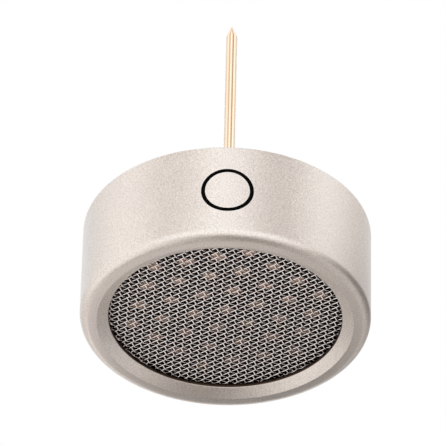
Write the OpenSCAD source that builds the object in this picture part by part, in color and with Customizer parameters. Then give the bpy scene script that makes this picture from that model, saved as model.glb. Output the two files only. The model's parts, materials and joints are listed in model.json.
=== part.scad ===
// Condenser microphone capsule, pressure type, with a rear thread and a long centre contact pin.
// It stands on its front rim: the rim is at z = 0, and everything is stacked behind the lip towards +Z.

/* [Housing] */
// Outside diameter of the turned housing
body_d = 20; // [19:0.5:23]
// Height from the front rim to the rear edge
body_h = 7.6; // [7:0.1:12]
// Wall outside the root of the rear thread
wall_t = 1; // [0.8:0.1:1.6]
// Radius on the outer edge of the front rim
rim_r = 0.67; // [0.3:0.01:0.8]
// Thickness of the lip in front of the grille
lip_t = 0.75; // [0.65:0.05:1.2]
// How far the lip reaches in over the grille
lip_w = 0.57; // [0.4:0.01:0.8]
// Width of the chamfer that leads into the opening
chamfer_w = 0.77; // [0.4:0.01:0.9]
// Depth of that chamfer
chamfer_h = 0.48; // [0.2:0.02:0.6]
// Chamfer at the mouth of the rear thread
mouth_chamfer = 0.3; // [0.1:0.05:0.6]
// Small break on the outer rear edge
edge_break = 0.06; // [0.02:0.02:0.2]

/* [Rear thread] */
// Pitch of the thread
thread_pitch = 0.5; // [0.35:0.05:0.75]
// How far the thread's crest stands outside the stack bore
bore_step = 0.13; // [0.05:0.01:0.3]
// Height of the relief groove at the thread's inner end
relief_h = 0.4; // [0.2:0.05:0.6]
// Depth of the relief groove past the thread's root
relief_extra = 0.05; // [0:0.05:0.2]

/* [Grille] */
// Diameter of one wire of the grille
wire_d = 0.09; // [0.08:0.01:0.2]
// Spacing of the first set of wires
pitch_a = 0.424; // [0.4:0.002:0.5]
// Spacing of the second set of wires
pitch_b = 0.382; // [0.37:0.002:0.5]
// Direction of the first set of wires
angle_a = 141.5; // [120:0.5:160]
// Direction of the second set of wires
angle_b = 50.3; // [30:0.1:70]
// Real wires that one modelled strand stands for
wires_per_strand = 3; // [3:1:5]
// Thickness of the flat ring behind the grille
mesh_ring_t = 0.12; // [0.1:0.01:0.5]
// How far that ring stays back from the edge of the opening
mesh_ring_back = 0.07; // [0:0.01:0.15]

/* [Front plate] */
// Thickness of the perforated plate
plate_t = 0.2; // [0.2:0.05:0.8]
// Diameter of its holes
hole_d = 1.15; // [0.6:0.05:1.6]
// How far the front edge of each hole is flared, so that the film shows at a slant
hole_flare = 0.2; // [0:0.05:0.3]
// Height of the straight part of each hole behind its flare
hole_land = 0.05; // [0.05:0.05:0.15]
// Distance between neighbouring holes
hole_pitch = 2.24; // [1.8:0.02:2.3]
// Rings of holes round the middle one
hole_rings = 3; // [1:1:3]
// Turn of the hole pattern about the axis
hole_turn = -16.4; // [-30:0.1:30]
// Thickness of the gasket behind the plate
gasket_t = 0.08; // [0.05:0.01:0.3]

/* [Diaphragm] */
// Thickness of the tension ring
tension_t = 0.5; // [0.5:0.05:0.7]
// Width of the tension ring
tension_w = 1.3; // [1.1:0.05:1.5]
// Thickness of the gold-coated film, drawn thicker than life
film_t = 0.02; // [0.01:0.01:0.05]
// Thickness of the insulating shim, which sets the air gap
shim_t = 0.05; // [0.03:0.01:0.1]
// Width of the shim on the edge of the backplate
shim_w = 0.3; // [0.2:0.05:0.5]

/* [Backplate] */
// Thickness of the backplate
backplate_t = 1.15; // [0.9:0.05:1.5]
// Diameter of its through holes and of its blind holes
sound_hole_d = 0.7; // [0.3:0.05:0.9]
// Distance between neighbouring through holes
sound_pitch = 1.95; // [1.8:0.05:2]
// Depth of the blind holes
blind_depth = 0.4; // [0.1:0.05:0.5]
// Diameter of the boss behind the backplate
boss_d = 2.8; // [2:0.1:2.9]
// Thickness of the damping cloth behind the backplate
cloth_t = 0.1; // [0.05:0.01:0.2]

/* [Backplate holder] */
// Wall round the backplate, which carries the clamp screws
holder_wall = 1.5; // [1.4:0.05:1.8]
// Width of the ledge behind the edge of the backplate
ledge_w = 0.35; // [0.2:0.05:0.5]
// Height of the air chamber behind the backplate
chamber_h = 0.35; // [0.25:0.05:0.6]
// Thickness of the holder's floor
floor_t = 0.4; // [0.3:0.05:0.8]
// Diameter of the sound ports in the floor
port_d = 1.3; // [0.5:0.1:2]
// Distance of the sound ports from the axis
port_r = 4.2; // [3:0.1:5]
// Number of sound ports
port_count = 6; // [3:1:8]

/* [Clamp screws] */
// Diameter of the screw thread
clamp_d = 0.8; // [0.5:0.05:0.9]
// Diameter of the screw head
clamp_head_d = 1.15; // [1:0.05:1.25]
// Height of the screw head
clamp_head_h = 0.3; // [0.2:0.05:0.4]
// Depth of thread in the tension ring
clamp_bite = 0.4; // [0.2:0.05:0.45]
// Number of clamp screws
clamp_count = 6; // [3:1:8]

/* [Terminal] */
// Diameter of the terminal screw's thread
terminal_d = 1.2; // [1.1:0.1:1.4]
// Depth of its thread in the backplate and boss
terminal_bite = 0.8; // [0.5:0.05:0.9]
// Diameter of the terminal screw's head
terminal_head_d = 2; // [1.8:0.1:2.4]
// Height of the terminal screw's head
terminal_head_h = 0.3; // [0.25:0.05:0.35]
// Diameter of the washer under that head
washer_d = 2.8; // [2.4:0.1:3.2]
// Thickness of that washer
washer_t = 0.1; // [0.08:0.01:0.15]
// Width of the driver slot in each screw head
slot_w = 0.25; // [0.15:0.05:0.35]
// Depth of the driver slot
slot_h = 0.15; // [0.1:0.01:0.18]

/* [Rear insulator] */
// Height of the sealed rear chamber
rear_chamber_h = 0.5; // [0.5:0.05:1]
// Thickness of the insulator's disc
insulator_t = 0.4; // [0.35:0.05:1]
// Width of the insulator's rim
insulator_rim_w = 0.95; // [0.8:0.05:1.5]
// Section diameter of the seal ring round the rim
seal_d = 0.4; // [0.3:0.02:0.42]
// Outside diameter of the vent plug
vent_d = 0.9; // [0.6:0.1:1.2]
// Capillary bore in the vent plug
vent_bore = 0.2; // [0.1:0.05:0.4]
// Head diameter of the vent plug
vent_head_d = 1.4; // [1.3:0.1:1.8]
// Head height of the vent plug
vent_head_h = 0.15; // [0.1:0.05:0.3]
// Distance of the vent plug from the axis
vent_r = 4.6; // [3.5:0.1:5.5]

/* [Contact pin] */
// Diameter of the pin
pin_d = 0.8; // [0.6:0.05:0.9]
// Length of the pin past the rear edge of the housing, with its point
pin_reach = 18.9; // [10:0.1:25]
// Length of its conical point
point_l = 1; // [0.5:0.05:1.5]
// Diameter of the flat at the end of the point
point_flat_d = 0.08; // [0.04:0.02:0.2]
// Diameter of the pin's threaded foot
foot_d = 1.2; // [1.1:0.05:1.4]
// Diameter of the collar above the foot
collar_d = 1.7; // [1.5:0.1:2.2]
// Height of the collar
collar_h = 0.25; // [0.15:0.05:0.5]
// Outside diameter of the bush
bush_d = 2.3; // [2.1:0.1:2.6]
// Diameter of the bush's flange
flange_d = 3.2; // [2.8:0.1:3.8]
// Thickness of the bush's flange
flange_t = 0.15; // [0.1:0.05:0.2]
// Depth of thread that the foot has in the bush
foot_l = 0.8; // [0.5:0.05:1]
// Depth of the spring pocket in the bush
pocket_l = 0.45; // [0.3:0.05:0.6]
// Diameter of the spring pocket
pocket_d = 1.6; // [1.5:0.05:1.8]
// Width across flats of the nut on the bush
nut_af = 3.6; // [3:0.1:4.4]
// Height of the nut
nut_h = 0.6; // [0.4:0.05:0.7]
// Wire diameter of the contact spring
spring_wire = 0.12; // [0.08:0.01:0.14]
// Turns of the contact spring
spring_turns = 3; // [2:0.5:3]

/* [Lock ring] */
// Rise and thickness of the conical spring washer
cone_washer_t = 0.1; // [0.08:0.01:0.2]
// Width of the conical spring washer
cone_washer_w = 1.2; // [0.8:0.1:1.6]
// Height of the lock ring
lock_h = 0.7; // [0.5:0.05:1]
// Width of the lock ring
lock_w = 1.7; // [1.2:0.1:2.2]
// Width of its spanner slots
spanner_w = 1.2; // [0.8:0.1:2]
// Depth of its spanner slots
spanner_h = 0.4; // [0.2:0.05:0.45]
// Number of spanner slots
spanner_count = 4; // [2:1:6]

/* [Clearances] */
// Gap round each disc in the stack bore
slide_gap = 0.05; // [0.02:0.01:0.1]
// Gap round each screw, bush and plug in its hole
screw_gap = 0.02; // [0.01:0.01:0.05]
// Gap round the seal ring and at the spring's ends
soft_gap = 0.01; // [0.005:0.005:0.02]

/* [Hidden] */
$fn = 96;

// Radii, from the outside in
body_r = body_d / 2;
thread_r = body_r - wall_t;
thread_depth = 5 / 16 * sqrt(3) * thread_pitch;
crest_r = thread_r - thread_depth;
bore_r = crest_r - bore_step;
opening_r = bore_r - lip_w;
disc_r = bore_r - slide_gap;
relief_r = thread_r + relief_extra;
pocket_r = disc_r - holder_wall;
backplate_r = pocket_r - slide_gap;
clamp_r = disc_r - holder_wall / 2;

// Levels, from the front rim to the back
mesh_z = lip_t;
mesh_t = 2 * wire_d;
mesh_ring_z = mesh_z + mesh_t;
plate_z = mesh_ring_z + mesh_ring_t;
gasket_z = plate_z + plate_t;
film_z = gasket_z + gasket_t;
tension_z = film_z + film_t;
backplate_z = tension_z + shim_t;
holder_z = tension_z + tension_t;
ledge_z = backplate_z + backplate_t;
floor_z = ledge_z + chamber_h;
holder_end = floor_z + floor_t;
head_z = holder_end + washer_t;
disc_z = holder_end + rear_chamber_h;
insulator_end = disc_z + insulator_t;
lock_z = insulator_end + 2 * cone_washer_t;
relief_z = lock_z - relief_h;
lock_end = lock_z + lock_h;
foot_z = disc_z + pocket_l;
collar_z = foot_z + foot_l;
pin_z = collar_z + collar_h;
pin_end = body_h + pin_reach;

// Directions and steps of the two sets of strands
along_a = [cos(angle_a), sin(angle_a)];
along_b = [cos(angle_b), sin(angle_b)];
cross_sin = sin(angle_a - angle_b);
step_a = wires_per_strand * pitch_a / cross_sin;
step_b = wires_per_strand * pitch_b / cross_sin;
strand_w = wires_per_strand * wire_d;
// The crown of a strand is narrower than the strand, and runs over this share of two steps
crown_w = strand_w - 0.05;
float_share = 0.66;
// Solid margin between the outermost gaps and the edge of the opening
mesh_rim_w = 0.02;
strands = ceil(disc_r / min(step_a, step_b));

// Extra length of a cutter past the face that it opens, and how far a strand is rooted in the web
past = 0.5;
root = 0.05;
spring_sides = 8;
spring_steps = 16;

function hex_site(i, j, pitch) = pitch * [i + j / 2, j * sqrt(3) / 2];
function hex_ring(i, j) = max(abs(i), abs(j), abs(i + j));
function hex_sites(rings, pitch) = [
    for (i = [-rings:rings], j = [-rings:rings])
        if (hex_ring(i, j) <= rings) hex_site(i, j, pitch)
];

// Middles of the triangles of a hexagonal pattern: the site shifted up or down by a third of a cell
function between_sites(rings, pitch) = [
    for (i = [-rings:rings], j = [-rings:rings], k = [0, 1])
        if (hex_ring(i, j) <= rings && hex_ring(i + 1, j) <= rings
            && (k == 0 ? hex_ring(i, j + 1) : hex_ring(i + 1, j - 1)) <= rings)
            hex_site(i, j, pitch) + pitch * [1 / 2, (k == 0 ? 1 : -1) / (2 * sqrt(3))]
];

function crossing(i, j) = i * step_a * along_b + j * step_b * along_a;
function gap_corners(i, j, cut_a, cut_b) = [
    crossing(i + cut_a, j + cut_b),
    crossing(i + 1 - cut_a, j + cut_b),
    crossing(i + 1 - cut_a, j + 1 - cut_b),
    crossing(i + cut_a, j + 1 - cut_b)
];

module ring(outer_r, inner_r, height) {
    linear_extrude(height) difference() {
        circle(outer_r);
        circle(inner_r);
    }
}

// Copies its children round the axis
module around(count, radius) {
    for (k = [0:count - 1]) rotate(360 / count * k) translate([radius, 0, 0]) children();
}

// A slotted screw with its head's seat at z = 0, its slot at the back and its shank towards -Z
module slotted_screw(shank_d, shank_l, head_d, head_h) {
    translate([0, 0, -shank_l]) cylinder(h = shank_l, d = shank_d);
    difference() {
        cylinder(h = head_h, d = head_d);
        translate([-head_d, -slot_w / 2, head_h - slot_h]) cube([2 * head_d, slot_w, slot_h + past]);
    }
}

module housing() {
    color([0.86, 0.83, 0.80]) rotate_extrude() difference() {
        union() {
            polygon([
                [0, 0],
                [body_r - rim_r, 0],
                [body_r, rim_r],
                [body_r, body_h - edge_break],
                [body_r - edge_break, body_h],
                [0, body_h]
            ]);
            translate([body_r - rim_r, rim_r]) circle(rim_r);
        }
        translate([0, -past]) square([opening_r, lip_t + 2 * past]);
        polygon([
            [0, -past],
            [opening_r + chamfer_w * (1 + past / chamfer_h), -past],
            [opening_r, chamfer_h],
            [0, chamfer_h]
        ]);
        translate([0, lip_t]) square([bore_r, body_h]);
        translate([0, relief_z]) square([relief_r, relief_h]);
        translate([0, relief_z]) square([crest_r, body_h]);
        polygon([
            [0, body_h + past],
            [crest_r + mouth_chamfer + past, body_h + past],
            [crest_r, body_h - mouth_chamfer],
            [0, body_h - mouth_chamfer]
        ]);
    }
}

// Plain weave: a web with a gap in each cell, and on its face the strand that runs over at each crossing
module grille_mesh() {
    cut_a = strand_w / 2 / (wires_per_strand * pitch_a);
    cut_b = strand_w / 2 / (wires_per_strand * pitch_b);
    reach = opening_r - mesh_rim_w;
    color([0.78, 0.77, 0.76]) translate([0, 0, mesh_z]) {
        translate([0, 0, wire_d]) linear_extrude(wire_d) difference() {
            circle(disc_r);
            for (i = [-strands:strands], j = [-strands:strands]) {
                corners = gap_corners(i, j, cut_a, cut_b);
                if (max([for (c = corners) norm(c)]) < reach) polygon(corners);
            }
        }
        for (i = [-strands:strands], j = [-strands:strands]) {
            over_a = (i + j) % 2 == 0;
            float_l = float_share * (over_a ? 2 * step_b : 2 * step_a);
            middle = crossing(i, j);
            if (norm(middle) + float_l / 2 < disc_r) {
                translate(middle) rotate(over_a ? angle_a : angle_b)
                    translate([-float_l / 2, -crown_w / 2, 0]) cube([float_l, crown_w, wire_d + root]);
            }
        }
    }
}

module mesh_ring() {
    color([0.45, 0.42, 0.38]) translate([0, 0, mesh_ring_z])
        ring(disc_r, opening_r + mesh_ring_back, mesh_ring_t);
}

// Cutter of one hole: a straight land at the back and a flare that opens towards the grille
module plate_hole() {
    hole_r = hole_d / 2;
    mouth_r = hole_r + hole_flare;
    rotate_extrude() polygon([
        [0, -past],
        [mouth_r, -past],
        [mouth_r, 0],
        [hole_r, plate_t - hole_land],
        [hole_r, plate_t + past],
        [0, plate_t + past]
    ]);
}

module front_plate() {
    color([0.17, 0.13, 0.11]) translate([0, 0, plate_z]) difference() {
        cylinder(h = plate_t, r = disc_r);
        rotate(hole_turn) for (p = hex_sites(hole_rings, hole_pitch)) translate(p) plate_hole();
    }
}

module front_gasket() {
    color([0.25, 0.24, 0.24]) translate([0, 0, gasket_z]) ring(disc_r, disc_r - tension_w, gasket_t);
}

module tension_ring() {
    color([0.80, 0.68, 0.42]) translate([0, 0, tension_z]) difference() {
        ring(disc_r, disc_r - tension_w, tension_t);
        around(clamp_count, clamp_r) translate([0, 0, tension_t - clamp_bite])
            cylinder(h = clamp_bite + past, d = clamp_d + 2 * screw_gap);
    }
}

// Stretched over the front of the tension ring, with the backplate close behind it inside the ring
module diaphragm() {
    color([0.90, 0.68, 0.55]) translate([0, 0, film_z]) cylinder(h = film_t, r = disc_r);
}

module film_spacer() {
    color([0.85, 0.75, 0.45]) translate([0, 0, tension_z]) ring(backplate_r, backplate_r - shim_w, shim_t);
}

// The through holes lie on a hexagonal pattern, clear of the boss, and the blind ones between them
module backplate() {
    rings = floor((backplate_r - sound_hole_d) / sound_pitch);
    solid_r = boss_d / 2 + sound_hole_d / 2;
    reach = backplate_r - shim_w - sound_hole_d / 2;
    color([0.83, 0.70, 0.40]) difference() {
        union() {
            translate([0, 0, backplate_z]) cylinder(h = backplate_t, r = backplate_r);
            translate([0, 0, ledge_z]) cylinder(h = chamber_h, d = boss_d);
        }
        for (p = hex_sites(rings, sound_pitch)) {
            if (norm(p) > solid_r && norm(p) < reach)
                translate([p.x, p.y, backplate_z - past])
                    cylinder(h = backplate_t + 2 * past, d = sound_hole_d);
        }
        for (p = between_sites(rings, sound_pitch)) {
            if (norm(p) < reach)
                translate([p.x, p.y, backplate_z - past])
                    cylinder(h = past + blind_depth, d = sound_hole_d);
        }
        translate([0, 0, floor_z - terminal_bite])
            cylinder(h = terminal_bite + past, d = terminal_d + 2 * screw_gap);
    }
}

module damping_cloth() {
    color([0.93, 0.92, 0.88]) translate([0, 0, ledge_z])
        ring(pocket_r - ledge_w - slide_gap, boss_d / 2 + slide_gap, cloth_t);
}

module backplate_holder() {
    counterbore_h = clamp_head_h + slide_gap;
    color([0.92, 0.91, 0.86]) difference() {
        translate([0, 0, holder_z]) cylinder(h = holder_end - holder_z, r = disc_r);
        translate([0, 0, holder_z - past]) cylinder(h = ledge_z - holder_z + past, r = pocket_r);
        translate([0, 0, holder_z]) cylinder(h = floor_z - holder_z, r = pocket_r - ledge_w);
        translate([0, 0, floor_z - past])
            cylinder(h = floor_t + 2 * past, d = terminal_d + 2 * slide_gap);
        around(port_count, port_r) translate([0, 0, floor_z - past])
            cylinder(h = floor_t + 2 * past, d = port_d);
        around(clamp_count, clamp_r) {
            translate([0, 0, holder_z - past])
                cylinder(h = holder_end - holder_z + 2 * past, d = clamp_d + 2 * screw_gap);
            translate([0, 0, holder_end - counterbore_h])
                cylinder(h = counterbore_h + past, d = clamp_head_d + 2 * screw_gap);
        }
    }
}

module clamp_screws() {
    seat_z = holder_end - clamp_head_h - slide_gap;
    color([0.75, 0.75, 0.74]) around(clamp_count, clamp_r) translate([0, 0, seat_z])
        slotted_screw(clamp_d, seat_z - holder_z + clamp_bite - screw_gap, clamp_head_d, clamp_head_h);
}

module terminal_screw() {
    shank_l = head_z - floor_z + terminal_bite - screw_gap;
    color([0.83, 0.70, 0.40]) translate([0, 0, head_z])
        slotted_screw(terminal_d, shank_l, terminal_head_d, terminal_head_h);
}

module terminal_washer() {
    color([0.78, 0.77, 0.75]) translate([0, 0, holder_end])
        ring(washer_d / 2, terminal_d / 2 + slide_gap, washer_t);
}

module seal_ring() {
    seal_r = seal_d / 2 - soft_gap;
    color([0.12, 0.12, 0.12]) translate([0, 0, holder_end + rear_chamber_h / 2]) rotate_extrude()
        translate([bore_r - seal_d / 2, 0]) circle(seal_r);
}

// A shallow cup: its rim closes the rear chamber on the holder, its disc carries the bush and the vent
module rear_insulator() {
    color([0.93, 0.92, 0.88]) difference() {
        translate([0, 0, holder_end]) cylinder(h = insulator_end - holder_end, r = disc_r);
        translate([0, 0, holder_end - past])
            cylinder(h = rear_chamber_h + past, r = disc_r - insulator_rim_w);
        translate([0, 0, holder_end + rear_chamber_h / 2 - seal_d / 2]) ring(bore_r, bore_r - seal_d, seal_d);
        translate([0, 0, disc_z - past])
            cylinder(h = insulator_t + 2 * past, d = bush_d + 2 * screw_gap);
        translate([0, 0, disc_z - past]) cylinder(h = flange_t + past, d = flange_d + 2 * screw_gap);
        translate([vent_r, 0, disc_z - past])
            cylinder(h = insulator_t + 2 * past, d = vent_d + 2 * screw_gap);
    }
}

module vent_plug() {
    color([0.83, 0.70, 0.40]) translate([vent_r, 0, 0]) difference() {
        union() {
            translate([0, 0, disc_z]) cylinder(h = insulator_t, d = vent_d);
            translate([0, 0, insulator_end]) cylinder(h = vent_head_h, d = vent_head_d);
        }
        translate([0, 0, disc_z - past]) cylinder(h = insulator_t + vent_head_h + 2 * past, d = vent_bore);
    }
}

// One round section per step of a helix, closed at both ends by its own polygon
module contact_spring() {
    start_z = head_z + terminal_head_h + spring_wire / 2 + soft_gap;
    end_z = foot_z - spring_wire / 2 - soft_gap;
    coil_r = (pocket_d - spring_wire) / 2 - slide_gap;
    count = round(spring_turns * spring_steps);
    rise = (end_z - start_z) / count;
    slope = atan2(rise, 2 * PI * coil_r / spring_steps);
    points = [
        for (s = [0:count], k = [0:spring_sides - 1])
            let (
                turn = 360 * s / spring_steps,
                a = 360 * k / spring_sides,
                out = coil_r + spring_wire / 2 * cos(a),
                up = spring_wire / 2 * sin(a),
                lean = -up * sin(slope)
            )
            [
                out * cos(turn) - lean * sin(turn),
                out * sin(turn) + lean * cos(turn),
                start_z + s * rise + up * cos(slope)
            ]
    ];
    sides = [
        for (s = [0:count - 1], k = [0:spring_sides - 1])
            let (
                a = s * spring_sides + k,
                b = s * spring_sides + (k + 1) % spring_sides
            )
            [a, a + spring_sides, b + spring_sides, b]
    ];
    first = [for (k = [0:spring_sides - 1]) k];
    last = [for (k = [spring_sides - 1:-1:0]) count * spring_sides + k];
    color([0.80, 0.62, 0.35]) polyhedron(points, concat(sides, [first, last]));
}

module pin_bush() {
    color([0.90, 0.76, 0.45]) difference() {
        union() {
            translate([0, 0, disc_z]) cylinder(h = collar_z - disc_z, d = bush_d);
            translate([0, 0, disc_z]) cylinder(h = flange_t, d = flange_d);
        }
        translate([0, 0, disc_z - past]) cylinder(h = pocket_l + past, d = pocket_d);
        translate([0, 0, foot_z - past]) cylinder(h = foot_l + 2 * past, d = foot_d + 2 * screw_gap);
    }
}

module pin_nut() {
    color([0.78, 0.77, 0.75]) translate([0, 0, insulator_end]) linear_extrude(nut_h) difference() {
        circle(d = nut_af / cos(30), $fn = 6);
        circle(d = bush_d + 2 * screw_gap);
    }
}

module contact_pin() {
    color([0.93, 0.79, 0.58]) rotate_extrude() polygon([
        [0, foot_z],
        [foot_d / 2, foot_z],
        [foot_d / 2, collar_z],
        [collar_d / 2, collar_z],
        [collar_d / 2, pin_z],
        [pin_d / 2, pin_z],
        [pin_d / 2, pin_end - point_l],
        [point_flat_d / 2, pin_end],
        [0, pin_end]
    ]);
}

module spring_washer() {
    outer_r = disc_r - slide_gap;
    inner_r = outer_r - cone_washer_w;
    color([0.70, 0.70, 0.69]) translate([0, 0, insulator_end]) rotate_extrude() polygon([
        [inner_r, 0],
        [outer_r, cone_washer_t],
        [outer_r, 2 * cone_washer_t],
        [inner_r, cone_washer_t]
    ]);
}

module lock_ring() {
    outer_r = crest_r - screw_gap;
    color([0.80, 0.69, 0.42]) translate([0, 0, lock_z]) difference() {
        ring(outer_r, outer_r - lock_w, lock_h);
        for (k = [0:spanner_count - 1]) rotate(360 / spanner_count * k)
            translate([outer_r - lock_w - past, -spanner_w / 2, lock_h - spanner_h])
                cube([lock_w + 2 * past, spanner_w, spanner_h + past]);
    }
}

housing();
grille_mesh();
mesh_ring();
front_plate();
front_gasket();
tension_ring();
diaphragm();
film_spacer();
backplate();
damping_cloth();
backplate_holder();
clamp_screws();
terminal_screw();
terminal_washer();
seal_ring();
rear_insulator();
vent_plug();
contact_spring();
pin_bush();
pin_nut();
contact_pin();
spring_washer();
lock_ring();
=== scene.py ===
"""Looks of a condenser microphone capsule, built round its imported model. Every length is in metres.

The capsule stands on its front rim at z = 0, grille down and contact pin up, with its axis at x = y = 0.
"""

import json
from math import cos, pi, radians, sin, sqrt

import bmesh
import bpy
import numpy as np
from mathutils import Matrix, Vector


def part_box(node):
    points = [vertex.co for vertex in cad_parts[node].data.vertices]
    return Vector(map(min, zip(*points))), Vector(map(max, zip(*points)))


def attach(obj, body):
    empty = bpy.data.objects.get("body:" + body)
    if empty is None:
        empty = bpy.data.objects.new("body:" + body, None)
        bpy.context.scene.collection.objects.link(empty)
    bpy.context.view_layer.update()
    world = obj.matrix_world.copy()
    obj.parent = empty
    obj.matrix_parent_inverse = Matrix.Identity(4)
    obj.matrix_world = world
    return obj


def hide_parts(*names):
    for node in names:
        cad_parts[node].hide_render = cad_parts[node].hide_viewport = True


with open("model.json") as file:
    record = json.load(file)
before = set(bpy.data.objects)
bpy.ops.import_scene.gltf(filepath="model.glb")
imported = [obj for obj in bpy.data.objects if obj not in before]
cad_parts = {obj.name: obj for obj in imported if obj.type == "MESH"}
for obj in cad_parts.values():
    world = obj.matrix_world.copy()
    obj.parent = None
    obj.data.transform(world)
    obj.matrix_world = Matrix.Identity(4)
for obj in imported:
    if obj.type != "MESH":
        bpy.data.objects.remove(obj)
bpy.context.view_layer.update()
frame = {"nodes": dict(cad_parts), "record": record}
NODES = frame["nodes"]
MM = 0.001

# Sizes that the frame gives
BODY_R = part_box("housing")[1].x
BODY_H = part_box("housing")[1].z
DISC_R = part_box("grille_mesh")[1].x
MESH_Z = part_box("grille_mesh")[0].z
MESH_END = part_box("grille_mesh")[1].z
LOCK_Z, LOCK_END = (corner.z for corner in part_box("lock_ring"))
LOCK_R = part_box("lock_ring")[1].x
NUT_Z, NUT_END = (corner.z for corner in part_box("pin_nut"))
NUT_FLAT_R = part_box("pin_nut")[1].y
BUSH_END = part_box("pin_bush")[1].z
PIN_Z, PIN_END = (corner.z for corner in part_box("contact_pin"))
COLLAR_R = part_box("contact_pin")[1].x
CLOTH_Z, CLOTH_END = (corner.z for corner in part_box("damping_cloth"))
CLOTH_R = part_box("damping_cloth")[1].x

# Housing
RIM_R = 0.67 * MM
CHAMFER_W = 0.77 * MM
CHAMFER_H = 0.48 * MM
LIP_W = 0.57 * MM
SLIDE_GAP = 0.05 * MM
BORE_R = DISC_R + SLIDE_GAP
OPENING_R = BORE_R - LIP_W
EDGE_BREAK = 0.06 * MM
SOFT_EDGE = 0.03 * MM

# Rear thread: its depth is 5/8 of the height of the sharp profile, whose flanks stand at 60 degrees
SCREW_GAP = 0.02 * MM
CREST_R = LOCK_R + SCREW_GAP
THREAD_PITCH = 0.5 * MM
THREAD_DEPTH = 5 / 16 * sqrt(3) * THREAD_PITCH
RELIEF_GAP = 0.05 * MM
RELIEF_R = CREST_R + THREAD_DEPTH + RELIEF_GAP
RELIEF_H = 0.4 * MM
MOUTH_CHAMFER = 0.3 * MM

# Grille: the weft takes nearly all of the crimp, and the rim presses both sets together
WIRE_D = 0.084 * MM
PITCH_A, ANGLE_A, CRIMP_A = 0.424 * MM, radians(141.5), 0.008 * MM
PITCH_B, ANGLE_B, CRIMP_B = 0.382 * MM, radians(50.3), 0.090 * MM
PRESSED_W = 0.4 * MM
PRESSED_FROM = OPENING_R - PRESSED_W
PRESSED_CRIMP = WIRE_D / 2
WIRE_SIDES = 8
WIRE_STEPS = 6

# Printed ring on the wall
MARK_R = 1.66 * MM
MARK_Z = 3.92 * MM
MARK_TURN = radians(-0.35)
MARK_STROKE = 0.28 * MM
INK_H = 0.008 * MM

# Contact pin, bush, nut and vent plug
PIN_R = 0.4 * MM
POINT_L = 1.0 * MM
POINT_TIP_R = 0.04 * MM
FOOT_R = 0.6 * MM
COLLAR_H = 0.25 * MM
BUSH_R = 1.15 * MM
BUSH_NECK_R = 0.8 * MM
BUSH_FLANGE_H = 0.15 * MM
NUT_FACE_SHARE = 0.98
VENT_SHANK_R = 0.45 * MM
VENT_BORE_R = 0.1 * MM

# Damping cloth
BOSS_R = 1.4 * MM
CLOTH_INNER_R = BOSS_R + SLIDE_GAP

# Lock ring
LOCK_W = 1.7 * MM
SPANNER_W = 1.2 * MM
SPANNER_H = 0.4 * MM
SPANNER_COUNT = 4

# Columns of the grids, once round
TURNED_COLUMNS = 288
SMALL_COLUMNS = 96
MARK_COLUMNS = 160
SLOT_COLUMNS = 8
LAND_COLUMNS = 44


# Mesh helpers

def arc(centre, radius, start, end, count):
    """Points (r, z) on a circle: centre + radius (cos a, sin a), for a from start to end in degrees."""
    a = np.radians(np.linspace(start, end, count))
    return np.column_stack([centre[0] + radius * np.cos(a), centre[1] + radius * np.sin(a)])


def eased(corners, width=SOFT_EDGE):
    """A closed outline (r, z) in which each corner is cut back by width, so that edges catch the light."""
    corners = np.asarray(corners, float)
    cut = []
    for step in (1, -1):
        side = np.roll(corners, step, axis=0) - corners
        cut.append(corners + width * side / np.linalg.norm(side, axis=1, keepdims=True))
    return np.stack(cut, axis=1).reshape(-1, 2)


def turned(profile, columns=SMALL_COLUMNS):
    """Grid of a turned part: each outline point (r, z) goes once round, x = r cos a and y = r sin a."""
    a = np.linspace(0, 2 * pi, columns + 1)
    r, z = profile[:, :1], profile[:, 1:]
    return np.stack([r * np.cos(a), r * np.sin(a), z + 0 * a], axis=-1)


def grid_faces(grid):
    """Quads between neighbours of a grid, from row i to i + 1 and column j to j + 1; the rows close up."""
    rows, columns = grid.shape[:2]
    index = np.arange(rows * columns).reshape(rows, columns)
    index = np.vstack([index, index[:1]])
    corners = [index[:-1, :-1], index[:-1, 1:], index[1:, 1:], index[1:, :-1]]
    return np.stack(corners, axis=-1).reshape(-1, 4).tolist()


def plain_object(name, points, faces, material):
    """An object at the origin, made of these points and faces."""
    mesh = bpy.data.meshes.new(name)
    mesh.from_pydata(np.reshape(points, (-1, 3)).tolist(), [], faces)
    mesh.materials.append(material)
    made = bpy.data.objects.new(name, mesh)
    bpy.context.scene.collection.objects.link(made)
    return made


def piece(name, points, faces, material, sharp=30):
    """A mesh that rides with the body: its seams and poles are welded, its faces turned outwards, and its
    edges shaded sharp where they bend by more degrees than sharp."""
    weld = 0.00002 * MM
    made = plain_object(name, points, faces, material)
    mesh = made.data
    work = bmesh.new()
    work.from_mesh(mesh)
    bmesh.ops.remove_doubles(work, verts=work.verts, dist=weld)
    bmesh.ops.dissolve_degenerate(work, edges=work.edges, dist=weld)
    bmesh.ops.recalc_face_normals(work, faces=work.faces)
    work.to_mesh(mesh)
    work.free()
    mesh.polygons.foreach_set("use_smooth", np.ones(len(mesh.polygons), bool))
    mesh.set_sharp_from_angle(angle=radians(sharp))
    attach(made, "root")
    return made


def grid_piece(name, grid, material, sharp=30):
    """A piece made of a grid whose rows close up."""
    return piece(name, grid, grid_faces(grid), material, sharp)


# Node helpers

def add(tree, kind, inputs=None, **settings):
    """Adds a node. Each input is a plain value, or the socket that feeds it."""
    made = tree.nodes.new(kind)
    for key, value in settings.items():
        setattr(made, key, value)
    for key, value in (inputs or {}).items():
        if isinstance(value, bpy.types.NodeSocket):
            tree.links.new(value, made.inputs[key])
        else:
            made.inputs[key].default_value = value
    return made


def compute(tree, operation, *values):
    """The result of one sum, such as ADD or SINE, on plain values or sockets."""
    return add(tree, "ShaderNodeMath", dict(enumerate(values)), operation=operation).outputs[0]


def between(tree, share, first, second):
    """The colour at a share from 0 to 1 of the way between two colours."""
    return add(tree, "ShaderNodeMix", {0: share, 6: first, 7: second}, data_type="RGBA").outputs[2]


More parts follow.
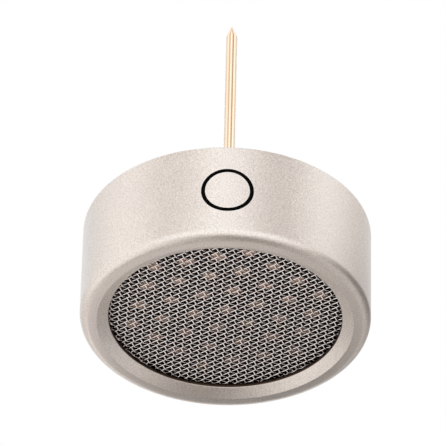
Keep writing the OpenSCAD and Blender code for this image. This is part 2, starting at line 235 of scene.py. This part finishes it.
def spread(tree, value, source, target, smooth=False):
    """Maps a value from the source range to the target range, held at both ends."""
    kind = "SMOOTHSTEP" if smooth else "LINEAR"
    inputs = {0: value, 1: source[0], 2: source[1], 3: target[0], 4: target[1]}
    return add(tree, "ShaderNodeMapRange", inputs, interpolation_type=kind).outputs[0]


def object_place(tree):
    """Where a point lies on the piece, in metres."""
    return add(tree, "ShaderNodeTexCoord").outputs["Object"]


def from_axis(tree, place):
    """Distance of a place from the axis, and its height."""
    parts = add(tree, "ShaderNodeSeparateXYZ", {0: place}).outputs
    flat = add(tree, "ShaderNodeCombineXYZ", {0: parts[0], 1: parts[1]}).outputs[0]
    return add(tree, "ShaderNodeVectorMath", {0: flat}, operation="LENGTH").outputs["Value"], parts[2]


def effect(name, inputs, outputs):
    """A new node group with named inputs and outputs, and the sockets that stand for them inside it."""
    kinds = {"vector": "NodeSocketVector", "value": "NodeSocketFloat"}
    group = bpy.data.node_groups.new(name, "ShaderNodeTree")
    for label, kind in inputs.items():
        group.interface.new_socket(label, in_out="INPUT", socket_type=kinds[kind])
    for label in outputs:
        group.interface.new_socket(label, in_out="OUTPUT", socket_type=kinds["value"])
    return group, group.nodes.new("NodeGroupInput").outputs, group.nodes.new("NodeGroupOutput").inputs


def blasted_skin():
    """A fine grain of dents, as bead blasting leaves it, and slow clouds where the blasting was heavier."""
    group, given, result = effect(
        "blasted skin", {"Place": "vector", "Grain": "value", "Clouds": "value"}, ["Dents", "Heavier"])
    for scale, label, detail in (("Grain", "Dents", 2.0), ("Clouds", "Heavier", 3.0)):
        inputs = {"Vector": given["Place"], "Scale": given[scale], "Detail": detail}
        noise = add(group, "ShaderNodeTexNoise", inputs)
        group.links.new(noise.outputs[0], result[label])
    return group


def tool_marks():
    """Rings that a cutting tool leaves round the axis: stripes of noise over radius plus height."""
    group, given, result = effect("tool marks", {"Place": "vector", "Lines": "value"}, ["Ridges"])
    across = compute(group, "MULTIPLY", compute(group, "ADD", *from_axis(group, given["Place"])),
                     given["Lines"])
    inputs = {"W": across, "Scale": 1.0, "Detail": 2.0}
    noise = add(group, "ShaderNodeTexNoise", inputs, noise_dimensions="1D")
    group.links.new(noise.outputs[0], result["Ridges"])
    return group


def crossed_threads():
    """Plain weave of fine threads: two sets of waves at right angles that take turns on top."""
    group, given, result = effect("crossed threads", {"Place": "vector", "Threads": "value"}, ["Weave"])
    parts = add(group, "ShaderNodeSeparateXYZ", {0: given["Place"]}).outputs
    waves = [compute(group, "SINE", compute(group, "MULTIPLY", parts[k], given["Threads"]))
             for k in (0, 1)]
    group.links.new(compute(group, "MULTIPLY", *waves), result["Weave"])
    return group


SKIN = blasted_skin()
MARKS = tool_marks()
THREADS = crossed_threads()


def use(tree, group, **values):
    """Puts an effect into a material, on the piece's own coordinates."""
    return add(tree, "ShaderNodeGroup", {"Place": object_place(tree), **values}, node_tree=group).outputs


def shader_of(name, **constants):
    """A material with one Principled shader, whose plain values are set on its own sockets."""
    made = bpy.data.materials.new(name)
    made.use_nodes = True
    shader = made.node_tree.nodes["Principled BSDF"]
    for label, value in constants.items():
        shader.inputs[label.replace("_", " ")].default_value = value
    return made, made.node_tree, shader


def feed(tree, shader, **sockets):
    """Links changing values into the shader's sockets."""
    for label, socket in sockets.items():
        tree.links.new(socket, shader.inputs[label.replace("_", " ")])


def relief(tree, height, depth):
    """A normal from a height between 0 and 1 that stands for a real depth."""
    bump = add(tree, "ShaderNodeBump", {"Height": height, "Strength": 1.0, "Distance": depth})
    return bump.outputs[0]


# Materials

# The range that holds nearly all of a noise's values
NOISE_SPAN = (0.3, 0.7)


def clouded(name, colours, rough, grain, clouds, depth=None, **constants):
    """A material that drifts between two colours in clouds. Its grain goes from smooth to rough, and
    where a depth is given it also dents the surface."""
    made, tree, shader = shader_of(name, **constants)
    skin = use(tree, SKIN, Grain=grain, Clouds=clouds)
    feed(tree, shader, Base_Color=between(tree, skin["Heavier"], *colours),
         Roughness=spread(tree, skin["Dents"], NOISE_SPAN, rough))
    if depth:
        feed(tree, shader, Normal=relief(tree, skin["Dents"], depth))
    return made


def satin_nickel():
    """Bead-blasted nickel plating: warm silver with faint pink clouds and a fine sparkle of dents. The
    wall of the lip inside the opening carries painted shade: a dark brown that darkens to near black at the
    grille, standing in for the dim reflection and shade of that recess."""
    silver, pink, dull = (0.926, 0.866, 0.782, 1), (0.89, 0.826, 0.762, 1), (0.605, 0.566, 0.513, 1)
    # painted shade on the lip's inner wall: dark brown at the chamfer, near black at the grille, inside these
    # radii
    painted_lip_front, painted_lip_back = (0.13, 0.085, 0.06, 1), (0.01, 0.007, 0.005, 1)
    lip_shade_from, lip_shade_to = OPENING_R + 0.01 * MM, OPENING_R + 0.02 * MM
    made, tree, shader = shader_of("satin_nickel", Metallic=1.0)
    skin = use(tree, SKIN, Grain=10500.0, Clouds=260.0)
    plating = between(tree, spread(tree, skin["Heavier"], (0.35, 0.65), (0, 1)), silver, pink)
    plating = between(tree, spread(tree, skin["Dents"], NOISE_SPAN, (0.85, 0)), plating, dull)
    radius, height = from_axis(tree, object_place(tree))
    # painted shade that darkens with depth towards the grille
    painted_lip_shade = between(tree, spread(tree, height, (CHAMFER_H, MESH_Z), (0, 1)), painted_lip_front, painted_lip_back)
    feed(tree, shader,
         Base_Color=between(tree, spread(tree, radius, (lip_shade_from, lip_shade_to), (1, 0)), plating, painted_lip_shade),
         Roughness=spread(tree, skin["Dents"], NOISE_SPAN, (0.38, 0.46)),
         Normal=relief(tree, skin["Dents"], 0.02 * MM))
    return made


def drawn_wire():
    """Bright steel wire, with the dull streaks that the drawing die leaves."""
    colours = ((0.99, 0.955, 0.92, 1), (0.92, 0.88, 0.845, 1))
    return clouded("drawn_wire", colours, rough=(0.08, 0.14), grain=9000.0, clouds=900.0, Metallic=1.0)


def blackened_brass():
    """Brass that a bath has turned black and dull."""
    colours = ((0.004, 0.0015, 0.0008, 1), (0.007, 0.003, 0.002, 1))
    return clouded("blackened_brass", colours, rough=(0.42, 0.56), grain=9000.0, clouds=500.0,
                   depth=0.003 * MM, Specular_IOR_Level=0.04)


def turned_metal(name, colours, roughness, depth=0.002 * MM):
    """Bare turned metal: tool marks round the axis, and a faint tarnish in clouds."""
    rough = (roughness - 0.05, roughness + 0.07)
    made, tree, shader = shader_of(name, Metallic=1.0)
    marks = use(tree, MARKS, Lines=26000.0)
    skin = use(tree, SKIN, Grain=8000.0, Clouds=420.0)
    feed(tree, shader,
         Base_Color=between(tree, spread(tree, skin["Heavier"], (0.35, 0.7), (0, 1)), *colours),
         Roughness=spread(tree, marks["Ridges"], NOISE_SPAN, rough),
         Normal=relief(tree, marks["Ridges"], depth))
    return made


def gold_film():
    """Gold-coated film: a mirror that is dulled a little in clouds."""
    colours = ((0.62, 0.45, 0.36, 1), (0.54, 0.38, 0.29, 1))
    return clouded("gold_film", colours, rough=(0.16, 0.24), grain=3000.0, clouds=350.0, Metallic=1.0)


def ivory_plastic():
    """Pressed and turned insulator: ivory, with soft tool marks and slight clouds."""
    colours = ((0.80, 0.77, 0.68, 1), (0.72, 0.68, 0.58, 1))
    made, tree, shader = shader_of("ivory_plastic", Specular_IOR_Level=0.45)
    marks = use(tree, MARKS, Lines=15000.0)
    skin = use(tree, SKIN, Grain=5000.0, Clouds=300.0)
    feed(tree, shader, Base_Color=between(tree, skin["Heavier"], *colours),
         Roughness=spread(tree, marks["Ridges"], NOISE_SPAN, (0.36, 0.50)),
         Normal=relief(tree, marks["Ridges"], 0.002 * MM))
    return made


def soft_rubber():
    """Black sealing rubber with a dull, finely pitted skin."""
    colours = ((0.018, 0.018, 0.019, 1), (0.035, 0.034, 0.034, 1))
    return clouded("soft_rubber", colours, rough=(0.55, 0.75), grain=7000.0, clouds=600.0, depth=0.004 * MM)


def shim_plastic():
    """Amber insulating film."""
    colours = ((0.68, 0.50, 0.20, 1), (0.60, 0.42, 0.15, 1))
    return clouded("shim_plastic", colours, rough=(0.28, 0.38), grain=6000.0, clouds=500.0)


def woven_silk():
    """Damping silk: a fine plain weave with a little sheen, yellowed in clouds."""
    low, high, yellowed = (0.62, 0.60, 0.54, 1), (0.86, 0.84, 0.79, 1), (0.66, 0.62, 0.54, 1)
    made, tree, shader = shader_of("woven_silk", Sheen_Weight=0.3, Sheen_Roughness=0.5)
    weave = use(tree, THREADS, Threads=52000.0)
    skin = use(tree, SKIN, Grain=5000.0, Clouds=700.0)
    height = spread(tree, weave["Weave"], (-1, 1), (0, 1))
    fibre = between(tree, height, low, high)
    feed(tree, shader,
         Base_Color=between(tree, spread(tree, skin["Heavier"], NOISE_SPAN, (0, 0.3)), fibre, yellowed),
         Roughness=spread(tree, weave["Weave"], (-1, 1), (0.8, 0.65)),
         Normal=relief(tree, height, 0.01 * MM))
    return made


def mark_ink():
    """Black printing ink, dull and slightly uneven."""
    colours = ((0.0008, 0.0008, 0.0008, 1), (0.0015, 0.0015, 0.0015, 1))
    return clouded("mark_ink", colours, rough=(0.85, 0.95), grain=12000.0, clouds=900.0,
                   Specular_IOR_Level=0.05)


def dress_nodes():
    """Gives each node of the frame the finish of its slot, and returns the finishes by slot."""
    gold = ((1.0, 0.79, 0.57, 1), (0.97, 0.74, 0.52, 1))
    brass = ((0.84, 0.66, 0.36, 1), (0.70, 0.52, 0.26, 1))
    steel = ((0.70, 0.69, 0.67, 1), (0.58, 0.57, 0.55, 1))
    bronze = ((0.80, 0.55, 0.30, 1), (0.66, 0.42, 0.21, 1))
    finishes = {
        "satin_nickel": satin_nickel(),
        "grille_wire": drawn_wire(),
        "dark_brass": blackened_brass(),
        "sealing_rubber": soft_rubber(),
        "bare_brass": turned_metal("turned_brass", brass, roughness=0.3),
        "gold_film": gold_film(),
        "shim_film": shim_plastic(),
        "damping_silk": woven_silk(),
        "ivory_insulator": ivory_plastic(),
        "steel_trim": turned_metal("turned_steel", steel, roughness=0.28),
        "pin_gold": turned_metal("plated_gold", gold, roughness=0.16, depth=0.0005 * MM),
        "spring_bronze": turned_metal("spring_bronze", bronze, roughness=0.3),
    }
    for part in frame["record"]["subparts"]:
        materials = NODES[part["node"]].data.materials
        materials.clear()
        materials.append(finishes[part["material_slot"]])
    return finishes


# Housing

def thread_rows(columns):
    """Rows of the internal thread, each a helix: z = start + (turns + a / 2 pi) pitch, held between the
    groove's end and the rear face. The radius goes from crest to root with the phase of z, and is at least
    that of the mouth's chamfer. The flank runs between two shares of the pitch, crest and root."""
    crest, root, steps = 1 / 8, 7 / 16, 3
    a = np.linspace(0, 2 * pi, columns + 1)
    corners = np.array([-crest, crest, root, 1 - root, 1 - crest])
    finer = np.concatenate([np.linspace(p, q, steps, endpoint=False)
                            for p, q in zip(corners, corners[1:])])
    turns = np.concatenate([k + finer for k in range(-1, int((BODY_H - LOCK_Z) / THREAD_PITCH) + 2)])
    z = np.clip(LOCK_Z + (turns[:, None] + a / (2 * pi)) * THREAD_PITCH, LOCK_Z, BODY_H)
    phase = np.mod((z - LOCK_Z) / THREAD_PITCH - a / (2 * pi), 1)
    flank = np.clip((np.minimum(phase, 1 - phase) - crest) / (root - crest), 0, 1)
    chamfer = CREST_R + z - (BODY_H - MOUTH_CHAMFER)
    r = np.maximum(CREST_R + THREAD_DEPTH * flank, chamfer)
    return np.stack([r * np.cos(a), r * np.sin(a), z], axis=-1)


def housing_shell(material):
    """Turned shell: rounded rim, chamfer and lip in front, plain bore inside, groove and thread behind. The
    chamfer, with its slope in degrees, is the line that closes the outline."""
    chamfer_slope = 32
    chamfer_edge = (OPENING_R + CHAMFER_W + SOFT_EDGE, SOFT_EDGE)
    wall_z = np.linspace(1, 7, 13) * MM
    outside = np.vstack([
        arc(chamfer_edge, SOFT_EDGE, -90 - chamfer_slope, -90, 5),
        arc((BODY_R - RIM_R, RIM_R), RIM_R, -90, 0, 28),
        [(BODY_R, z) for z in wall_z],
        arc((BODY_R - EDGE_BREAK, BODY_H - EDGE_BREAK), EDGE_BREAK, 0, 90, 7),
        [(CREST_R + MOUTH_CHAMFER, BODY_H)],
    ])
    inside = np.array([
        (RELIEF_R, LOCK_Z),
        (RELIEF_R, LOCK_Z - RELIEF_H),
        (BORE_R, LOCK_Z - RELIEF_H),
        (BORE_R, MESH_Z),
        (OPENING_R, MESH_Z),
        (OPENING_R, CHAMFER_H + SOFT_EDGE),
        (OPENING_R + SOFT_EDGE, CHAMFER_H - SOFT_EDGE),
    ])
    rows = [turned(outside, TURNED_COLUMNS), thread_rows(TURNED_COLUMNS)[::-1],
            turned(inside, TURNED_COLUMNS)]
    made = grid_piece("housing_shell", np.vstack(rows), material)
    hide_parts("housing")


def polar_mark(material):
    """Printed ring: a circle in arc length and height, wrapped onto the wall with the angle arc / radius."""
    t = np.linspace(0, 2 * pi, MARK_COLUMNS + 1)
    half, ease = MARK_STROKE / 2, INK_H
    across = np.array([-half, -half + ease, half - ease, half])[:, None]
    height = np.array([-INK_H / 2, INK_H, INK_H, -INK_H / 2])[:, None]
    azimuth = MARK_TURN + (MARK_R + across) * np.sin(t) / BODY_R
    r = BODY_R + height
    grid = [r * np.sin(azimuth), -r * np.cos(azimuth), MARK_Z + (MARK_R + across) * np.cos(t)]
    grid_piece("polar_mark", np.stack(grid, axis=-1), material)


# Grille

def crimped_wire(offset, angle, crimp, crossing, other_shift, over_first, reach):
    """One wire of the weave: its middle line runs along the angle at that offset from the axis. Its height
    is a cosine that peaks at each crossing, up and down in turn, with the crimp as its swing, which goes
    over to the pressed crimp at the opening's edge. One crossing lies at other_shift along the line. Round
    the line stand rings of WIRE_SIDES points."""
    half = sqrt(reach ** 2 - offset ** 2)
    step = crossing / WIRE_STEPS
    first = np.ceil((-half - other_shift) / step)
    last = np.floor((half - other_shift) / step)
    s = other_shift + np.arange(first, last + 1) * step
    wave = pi * (s - other_shift) / crossing
    clamped = np.clip((np.hypot(s, offset) - PRESSED_FROM) / (OPENING_R - PRESSED_FROM), 0, 1)
    swing = (1 if over_first else -1) * (crimp + clamped * (PRESSED_CRIMP - crimp))
    z = (MESH_Z + MESH_END) / 2 - swing * np.cos(wave)
    slope = swing * np.sin(wave) * pi / crossing
    along = np.array([cos(angle), sin(angle), 0.0])
    side = np.array([-sin(angle), cos(angle), 0.0])
    middle = s[:, None] * along + offset * side + z[:, None] * np.array([0, 0, 1.0])
    steep = np.sqrt(1 + slope ** 2)[:, None]
    up = (np.array([0, 0, 1.0]) - slope[:, None] * along) / steep
    a = np.arange(WIRE_SIDES) * 2 * pi / WIRE_SIDES
    ring = np.cos(a)[None, :, None] * side + np.sin(a)[None, :, None] * up[:, None, :]
    return middle[:, None, :] + WIRE_D / 2 * ring


def wire_set(name, angle, pitch, crimp, other_angle, other_pitch, starts_over, material):
    """All wires of one direction, side by side at the pitch. Each meets the other set at equal steps, whose
    length is the other pitch over the sine of the angle between the sets."""
    skew = sin(other_angle - angle)
    crossing = other_pitch / abs(skew)
    lean = cos(other_angle - angle) / skew
    reach = DISC_R - WIRE_D / 2
    count = int(reach / pitch)
    points, faces, total = [], [], 0
    for k in range(-count, count + 1):
        over_first = (k + starts_over) % 2 == 0
        tube = crimped_wire(k * pitch, angle, crimp, crossing, k * pitch * lean, over_first, reach)
        rings = len(tube)
        index = total + np.arange(rings * WIRE_SIDES).reshape(rings, WIRE_SIDES)
        turn = np.roll(index, -1, axis=1)
        faces += np.stack([index[:-1], turn[:-1], turn[1:], index[1:]], axis=-1).reshape(-1, 4).tolist()
        faces += [index[0].tolist()[::-1], index[-1].tolist()]
        points.append(tube.reshape(-1, 3))
        total += rings * WIRE_SIDES
    return piece(name, np.vstack(points), faces, material, sharp=60)


def woven_grille(material):
    """Plain weave of nearly straight warp and wavy weft, which take turns on top at their crossings."""
    warp = wire_set("grille_warp", ANGLE_A, PITCH_A, CRIMP_A, ANGLE_B, PITCH_B, 0, material)
    weft = wire_set("grille_weft", ANGLE_B, PITCH_B, CRIMP_B, ANGLE_A, PITCH_A, 1, material)
    for wires in (warp, weft):
        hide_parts("grille_mesh")


# Parts at the back

def lock_ring(material):
    """Ring with straight spanner slots. Round the ring, slot and land take turns; the slot's edges stay at
    half the slot's width from its middle line, so their angle is asin(half width / radius)."""
    slot_u, land_u = np.linspace(-1, 1, SLOT_COLUMNS + 1), np.linspace(0, 1, LAND_COLUMNS + 1)
    sector = 2 * pi / SPANNER_COUNT
    floor_z = LOCK_END - SPANNER_H
    e = SOFT_EDGE
    inner_r = LOCK_R - LOCK_W
    # Each corner: radius, height, and 1 where the height counts from the top of the slot or land
    outline = np.array([
        (LOCK_R, LOCK_Z + e, 0), (LOCK_R, floor_z - e, 0), (LOCK_R, -e, 1), (LOCK_R - e, 0, 1),
        (inner_r + e, 0, 1), (inner_r, -e, 1), (inner_r, floor_z - e, 0), (inner_r, LOCK_Z + e, 0),
        (inner_r + e, LOCK_Z, 0), (LOCK_R - e, LOCK_Z, 0),
    ])
    r, z, follows_top = (outline[:, k:k + 1] for k in range(3))
    edge = np.arcsin(SPANNER_W / 2 / r)
    angles, tops = [], []
    for k in range(SPANNER_COUNT):
        angles.append(k * sector + slot_u * edge)
        tops.append(np.full(len(slot_u), floor_z))
        angles.append(k * sector + edge + land_u * (sector - 2 * edge))
        tops.append(np.full(len(land_u), LOCK_END))
    angle = np.hstack(angles)
    angle = np.hstack([angle, angle[:, :1] + 2 * pi])
    top = np.concatenate(tops + [[floor_z]])
    height = z + follows_top * top
    grid = np.stack([r * np.cos(angle), r * np.sin(angle), height + 0 * angle], axis=-1)
    made = grid_piece("lock_ring_slotted", grid, material)
    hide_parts("lock_ring")


def hexagon_nut(material):
    """Hexagon nut: its radius at angle a is the flat's distance over the cosine of the angle from the
    flat's middle, cut down near each end by a cone of 30 degrees."""
    a = np.linspace(0, 2 * pi, SMALL_COLUMNS + 1)
    hexagon = NUT_FLAT_R / np.cos(np.mod(a, pi / 3) - pi / 6)
    half = (NUT_END - NUT_Z) / 2
    end_rows = np.linspace(0, 0.5, 9)
    z = half * np.concatenate([end_rows - 1, 1 - end_rows[::-1]])[:, None]
    cone = NUT_FLAT_R * NUT_FACE_SHARE + (half - np.abs(z)) * sqrt(3)
    r = np.minimum(hexagon, cone)
    bore = np.full(len(a), BUSH_R + SCREW_GAP)
    r = np.vstack([bore, bore + SOFT_EDGE, r, bore + SOFT_EDGE, bore])
    z = np.vstack([[[SOFT_EDGE - half]], [[-half]], z, [[half]], [[half - SOFT_EDGE]]]) + 0 * a
    grid = np.stack([r * np.cos(a), r * np.sin(a), z + (NUT_Z + NUT_END) / 2], axis=-1)
    made = grid_piece("pin_nut_hexagon", grid, material, sharp=20)
    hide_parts("pin_nut")


def pin_bush(material):
    """Flanged bush that holds the pin, an outline with eased edges carried round the axis."""
    flange_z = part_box("pin_bush")[0].z
    flange_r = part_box("pin_bush")[1].x
    flange_end = flange_z + BUSH_FLANGE_H
    hole_r = FOOT_R + SCREW_GAP
    bush = [(hole_r, PIN_Z), (BUSH_NECK_R, PIN_Z), (BUSH_NECK_R, flange_z), (flange_r, flange_z),
            (flange_r, flange_end), (BUSH_R, flange_end), (BUSH_R, BUSH_END), (hole_r, BUSH_END)]
    made = grid_piece("pin_bush_turned", turned(eased(bush)), material)
    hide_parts("pin_bush")


def contact_pin(material):
    """Long pin: an eased foot and collar, a plain shank, a cone and a small round tip."""
    collar_end = BUSH_END + COLLAR_H
    foot = eased([(0, PIN_Z), (FOOT_R, PIN_Z), (FOOT_R, BUSH_END), (COLLAR_R, BUSH_END),
                  (COLLAR_R, collar_end), (PIN_R, collar_end)])[1:-1]
    shank = [(PIN_R, collar_end + 2 * SOFT_EDGE), (PIN_R, PIN_END - POINT_L)]
    tip = arc((0, PIN_END - POINT_TIP_R), POINT_TIP_R, 20, 90, 6)
    made = grid_piece("contact_pin_turned", turned(np.vstack([foot, shank, tip])), material)
    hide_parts("contact_pin")


def vent_plug(material):
    """Small plug beside the axis, with a fine bore: its outline is carried round its own middle line."""
    low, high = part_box("vent_plug")
    middle, head_r = (low.x + high.x) / 2, (high.y - low.y) / 2
    plug = [(VENT_BORE_R, low.z), (VENT_SHANK_R, low.z), (VENT_SHANK_R, NUT_Z), (head_r, NUT_Z),
            (head_r, high.z), (VENT_BORE_R, high.z)]
    grid = turned(eased(plug)) + np.array([middle, 0, 0])
    made = grid_piece("vent_plug_turned", grid, material)
    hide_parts("vent_plug")


def damping_disc(material):
    """Silk ring that lies flat behind the backplate, between the boss and the ledge."""
    r = np.linspace(CLOTH_INNER_R, CLOTH_R, 24)[:, None]
    a = np.linspace(0, 2 * pi, SMALL_COLUMNS + 1)
    grid = np.stack([r * np.cos(a), r * np.sin(a), (CLOTH_Z + CLOTH_END) / 2 + 0 * r * a], axis=-1)
    all_but_closing = grid_faces(grid)[:-SMALL_COLUMNS]
    made = piece("damping_silk_disc", grid, all_but_closing, material)
    thickness = made.modifiers.new("thickness", "SOLIDIFY")
    thickness.thickness, thickness.offset = CLOTH_END - CLOTH_Z, 0
    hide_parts("damping_cloth")


# Studio

def camera():
    """Long lens in front of the capsule and below it, looking up at the grille and rolled a little, as
    fitted to the photograph."""
    elevation, roll, distance = radians(-37.495), radians(1.368), 351.2 * MM
    target = Vector((-0.311 * MM, 0, 8.762 * MM))
    back = Vector((0, -cos(elevation), sin(elevation)))
    level = Vector((1, 0, 0))
    upright = back.cross(level)
    right = cos(roll) * level + sin(roll) * upright
    data = bpy.data.cameras.new("camera")
    data.sensor_width, data.lens = 36, 407.1
    data.clip_start, data.clip_end = 0.01, 5
    made = bpy.data.objects.new("camera", data)
    made.matrix_world = Matrix.Translation(target + distance * back) @ Matrix(
        (right, back.cross(right), back)).transposed().to_4x4()
    bpy.context.scene.collection.objects.link(made)
    bpy.context.scene.camera = made


# Soft panels and dark flags of the tent: azimuth from the front towards +X, elevation, half width, half
# height and soft margin in degrees, and the level that each shows
PANELS = {
    "front softbox": (-4, 39, 18, 35, 22, 1.38),
    "left panel": (-89, 40, 23, 40, 20, 1.17),
    "right panel": (87, 48, 22, 42, 20, 1.30),
    "left rear": (-130, 40, 18, 40, 25, 0.85),
    "right horizon": (113, 0, 27, 21, 16, 0.2),
    "left flag": (-42, 35, 5, 50, 6, 0.55),
    "right flag": (45, 35, 6, 50, 8, 0.12),
    "low front": (0, -11, 61, 30, 25, 1.28),
    "low left": (-94, -40, 43, 36, 25, 1.14),
    "low right": (112, -40, 40, 18, 25, 1.22),
    "under": (40, -83, 90, 16, 25, 0.02),
    "background": (180, 14, 31, 56, 20, 1.2),
    "rear horizon": (-159, 1, 27, 13, 12, 0.7),
    "right rear": (150, -5, 16, 14, 16, 0.62),
}
TENT_BELOW, TENT_ABOVE = 0.28, 0.73
TENT_STEP = (radians(-29), radians(16))

# Black gauzes close behind the part, which shade the far side of its rim: azimuth, half width and soft
# margin in degrees, middle, half height and soft margin in height, and how much each one holds back
GAUZES = {
    "rear gauze": (176, 24, 24, -12 * MM, 5.5 * MM, 4 * MM, 1.0),
    "side gauze": (108, 48, 24, -7 * MM, 19 * MM, 6 * MM, 0.42),
}
GAUZE_R = 24 * MM

# Colour of the light: warm where the tent is dim, cool where it is bright, and another one behind the part,
# in a window of azimuth (middle, half width, soft margin) and above a step in the sine of the elevation
WARM_TINT = (1.1, 0.97, 0.92, 1)
COOL_TINT = (0.98, 1.0, 1.05, 1)
TINT_LEVELS = (0.4, 1.4)
BACK_TINT = (0.91, 0.975, 1.05, 1)
BACK_WINDOW = (185, 45, 50)
BACK_STEP = (0.05, 0.35)

# Floor: it lies a hair under the rim, whose flat face would otherwise lie in the same plane
FLOOR_R = 150 * MM
FLOOR_FADE = (50 * MM, 0.95 * FLOOR_R)
FLOOR_Z = -0.05 * MM


def azimuth_of(tree, place):
    """Azimuth of a place or direction from the front towards +X, atan2(x, -y), and its height."""
    parts = add(tree, "ShaderNodeSeparateXYZ", {0: place}).outputs
    return compute(tree, "ARCTAN2", parts[0], compute(tree, "MULTIPLY", parts[1], -1.0)), parts[2]


def soft_window(tree, value, middle, half, margin):
    """1 within the half width of the middle and 0 outside, with an S-shaped step as wide as the margin."""
    away = compute(tree, "ABSOLUTE", compute(tree, "SUBTRACT", value, middle))
    return spread(tree, away, (half - margin / 2, half + margin / 2), (1, 0), smooth=True)


def soft_azimuth(tree, azimuth, middle, half, margin):
    """The same window round the axis, in degrees."""
    turned_back = compute(tree, "SUBTRACT", azimuth, radians(middle))
    away = add(tree, "ShaderNodeMath", {0: turned_back, 1: pi, 2: -pi}, operation="WRAP").outputs[0]
    return soft_window(tree, away, 0.0, radians(half), radians(margin))


def studio_level(tree, azimuth, height):
    """Brightness of the tent by direction: a step from below to above the horizon, then each panel."""
    elevation = compute(tree, "ARCSINE", height)
    level = spread(tree, elevation, TENT_STEP, (TENT_BELOW, TENT_ABOVE), smooth=True)
    for middle, middle_up, half, half_up, margin, brightness in PANELS.values():
        across = soft_azimuth(tree, azimuth, middle, half, margin)
        upright = soft_window(tree, elevation, *np.radians((middle_up, half_up, margin)).tolist())
        share = compute(tree, "MULTIPLY", across, upright)
        level = add(tree, "ShaderNodeMix", {0: share, 2: level, 3: brightness}).outputs[0]
    return level


def tent():
    """White tent round the part: plain white to the camera, with its panels and flags to the part."""
    world = bpy.data.worlds.new("tent")
    world.use_nodes = True
    tree = world.node_tree
    tree.nodes.clear()
    seen = add(tree, "ShaderNodeLightPath").outputs
    plain = add(tree, "ShaderNodeBackground", {0: (1, 1, 1, 1), 1: 1.0})
    azimuth, height = azimuth_of(tree, add(tree, "ShaderNodeTexCoord").outputs["Generated"])
    level = studio_level(tree, azimuth, height)
    tint = between(tree, spread(tree, level, TINT_LEVELS, (0, 1)), WARM_TINT, COOL_TINT)
    behind = compute(tree, "MULTIPLY", soft_azimuth(tree, azimuth, *BACK_WINDOW),
                     spread(tree, height, BACK_STEP, (0, 1)))
    lit = add(tree, "ShaderNodeBackground", {0: between(tree, behind, tint, BACK_TINT), 1: level})
    direct = compute(tree, "MAXIMUM", seen["Is Camera Ray"], seen["Is Transmission Ray"])
    mixed = add(tree, "ShaderNodeMixShader", {0: direct, 1: lit.outputs[0], 2: plain.outputs[0]})
    add(tree, "ShaderNodeOutputWorld", {0: mixed.outputs[0]})
    bpy.context.scene.world = world


def gauze_cloth(name, middle, half, margin, middle_z, half_h, margin_z, held):
    """Black cloth that holds back a share of the light in a window of azimuth and height, with soft edges."""
    material = bpy.data.materials.new(name)
    material.use_nodes = True
    tree = material.node_tree
    tree.nodes.clear()
    azimuth, height = azimuth_of(tree, object_place(tree))
    window = compute(tree, "MULTIPLY", soft_azimuth(tree, azimuth, middle, half, margin),
                     soft_window(tree, height, middle_z, half_h, margin_z))
    clear = add(tree, "ShaderNodeBsdfTransparent").outputs[0]
    black = add(tree, "ShaderNodeEmission", {0: (0, 0, 0, 1), 1: 0.0}).outputs[0]
    share = compute(tree, "MULTIPLY", window, held)
    mixed = add(tree, "ShaderNodeMixShader", {0: share, 1: clear, 2: black})
    add(tree, "ShaderNodeOutputMaterial", {0: mixed.outputs[0]})
    return material


def gauzes():
    """Curved black gauzes round the axis, thinner towards their edges. Only reflections see them."""
    for name, shape in GAUZES.items():
        middle, half, margin, middle_z, half_h, margin_z = shape[:-1]
        a = np.radians(np.linspace(-1, 1, 25) * (half + margin / 2) + middle)
        tall = half_h + margin_z / 2
        rows = [np.column_stack([GAUZE_R * np.sin(a), -GAUZE_R * np.cos(a), 0 * a + middle_z + up])
                for up in (-tall, tall)]
        count = len(a)
        faces = [(k, k + 1, count + k + 1, count + k) for k in range(count - 1)]
        gauze = plain_object(name, rows, faces, gauze_cloth(name, *shape))
        for kind in ("camera", "diffuse", "transmission", "shadow"):
            setattr(gauze, "visible_" + kind, False)


def pale_floor():
    """Matt white that fades out, and that only a camera ray from above sees: other light passes it."""
    made, tree, shader = shader_of("pale_floor", Base_Color=(0.93, 0.93, 0.92, 1), Roughness=1.0,
                                   Specular_IOR_Level=0.0)
    away = add(tree, "ShaderNodeVectorMath", {0: object_place(tree)}, operation="LENGTH").outputs["Value"]
    near = spread(tree, away, FLOOR_FADE, (1, 0), smooth=True)
    front = compute(tree, "SUBTRACT", 1.0, add(tree, "ShaderNodeNewGeometry").outputs["Backfacing"])
    seen = compute(tree, "MULTIPLY", front, add(tree, "ShaderNodeLightPath").outputs["Is Camera Ray"])
    share = compute(tree, "MULTIPLY", near, seen)
    clear = add(tree, "ShaderNodeBsdfTransparent").outputs[0]
    mixed = add(tree, "ShaderNodeMixShader", {0: share, 1: clear, 2: shader.outputs[0]})
    tree.links.new(mixed.outputs[0], tree.nodes["Material Output"].inputs[0])
    return made


def floor():
    """Round plain floor under the capsule."""
    a = np.linspace(0, 2 * pi, 64, endpoint=False)
    rim = np.column_stack([FLOOR_R * np.cos(a), FLOOR_R * np.sin(a), 0 * a + FLOOR_Z])
    plane = plain_object("floor", rim, [list(range(len(a)))], pale_floor())


# The scene

camera()
tent()
gauzes()
floor()
finishes = dress_nodes()
housing_shell(finishes["satin_nickel"])
polar_mark(mark_ink())
woven_grille(finishes["grille_wire"])
lock_ring(finishes["bare_brass"])
hexagon_nut(finishes["steel_trim"])
pin_bush(finishes["pin_gold"])
contact_pin(finishes["pin_gold"])
vent_plug(finishes["bare_brass"])
damping_disc(finishes["damping_silk"])

bpy.context.scene.view_settings.view_transform = "Standard"
